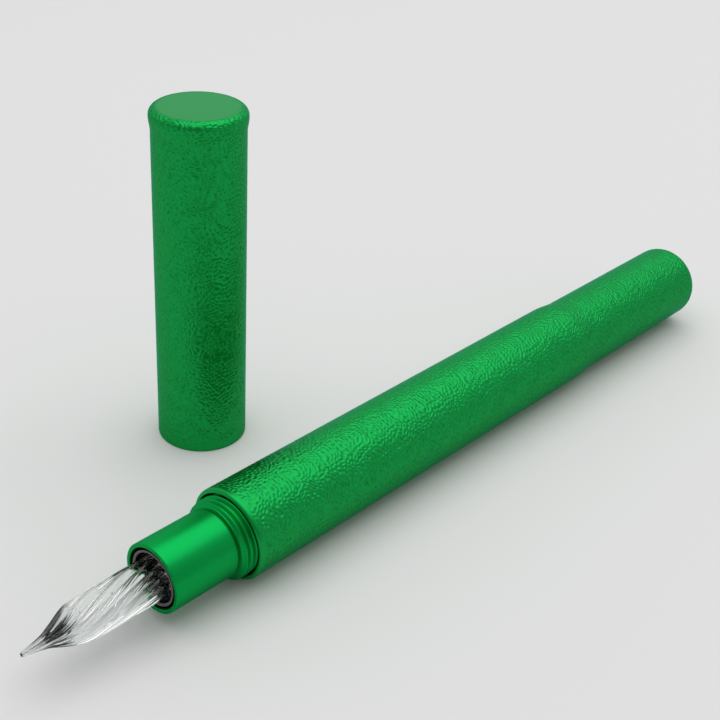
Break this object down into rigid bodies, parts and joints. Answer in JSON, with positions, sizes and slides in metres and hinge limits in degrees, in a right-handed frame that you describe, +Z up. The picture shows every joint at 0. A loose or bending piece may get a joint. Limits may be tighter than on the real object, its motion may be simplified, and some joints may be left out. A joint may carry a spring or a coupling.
{
  "type": "glass nib fountain pen",
  "caption": "Slim anodised metal fountain pen with a twisted glass nib, lying uncapped beside its upright screw cap.",
  "frame": {"origin": "on the desk, under the middle of the box round the lying pen and the standing cap", "axes": "+X along the pen's axis from the nib to the rear end, +Z up from the desk, +Y from the pen towards the cap"},
  "size_m": [0.1344, 0.04, 0.0496],
  "materials": {
    "textured_green": "green anodised aluminium, embossed with a fine leathery crinkle",
    "satin_green": "smooth satin green anodised aluminium",
    "nib_glass": "clear flame-polished glass",
    "black_plastic": "moulded black ABS",
    "smoke_plastic": "turned brownish-grey plastic",
    "clear_plastic": "clear moulded polystyrene",
    "rubber": "black nitrile rubber",
    "silicone": "milky silicone rubber",
    "steel": "fine-turned stainless steel",
    "brass": "turned brass"
  },
  "bodies": {
    "barrel": {"barrel_shell": "textured_green", "barrel_bushing": "brass"},
    "cap": {"cap_shell": "textured_green", "cap_thread_ring": "black_plastic", "cap_inner_cap": "black_plastic"},
    "section_seal": {"section_o_ring": "rubber"},
    "section": {"section_grip": "satin_green", "section_core": "black_plastic"},
    "nib_seal": {"nib_grommet": "silicone"},
    "nib_unit": {"nib_housing": "smoke_plastic", "ink_feed": "black_plastic", "capillary_tube": "steel"},
    "nib": {"glass_nib": "nib_glass"},
    "converter": {"converter_mouth": "black_plastic", "converter_tube": "clear_plastic", "converter_collar": "steel", "converter_guide": "black_plastic"},
    "knob": {"converter_knob": "black_plastic"},
    "piston": {"converter_piston_seal": "rubber", "converter_piston_rod": "black_plastic"}
  },
  "joints": [
    {"name": "cap_lift", "type": "slide", "parent": "barrel", "child": "cap", "axis": [0, 0, 1], "range_m": [0, 0.07]},
    {"name": "section_draw", "type": "slide", "parent": "barrel", "child": "section_seal", "axis": [-1, 0, 0], "range_m": [0, 0.086]},
    {"name": "section_turn", "type": "hinge", "parent": "section_seal", "child": "section", "pos_m": [-0.03679, -0.01373, 0.00625], "axis": [-1, 0, 0], "range_deg": [0, 2160]},
    {"name": "nib_unit_advance", "type": "slide", "parent": "section", "child": "nib_seal", "axis": [-1, 0, 0], "range_m": [0, 0.0064]},
    {"name": "nib_unit_turn", "type": "hinge", "parent": "nib_seal", "child": "nib_unit", "pos_m": [-0.04579, -0.01373, 0.00625], "axis": [-1, 0, 0], "range_deg": [0, 2881]},
    {"name": "nib_pull", "type": "slide", "parent": "nib_unit", "child": "nib", "axis": [-1, 0, 0], "range_m": [0, 0.012]},
    {"name": "converter_pull", "type": "slide", "parent": "section", "child": "converter", "axis": [1, 0, 0], "range_m": [0, 0.008]},
    {"name": "knob_turn", "type": "hinge", "parent": "converter", "child": "knob", "pos_m": [0.04471, -0.01373, 0.00625], "axis": [-1, 0, 0], "range_deg": [0, 2161]},
    {"name": "piston_travel", "type": "slide", "parent": "converter", "child": "piston", "axis": [1, 0, 0], "range_m": [0, 0.02]}
  ],
  "couplings": [
    {"joint": "nib_unit_turn", "follows": "nib_unit_advance", "rad_per_m": 7854},
    {"joint": "knob_turn", "follows": "piston_travel", "rad_per_m": 1885}
  ]
}
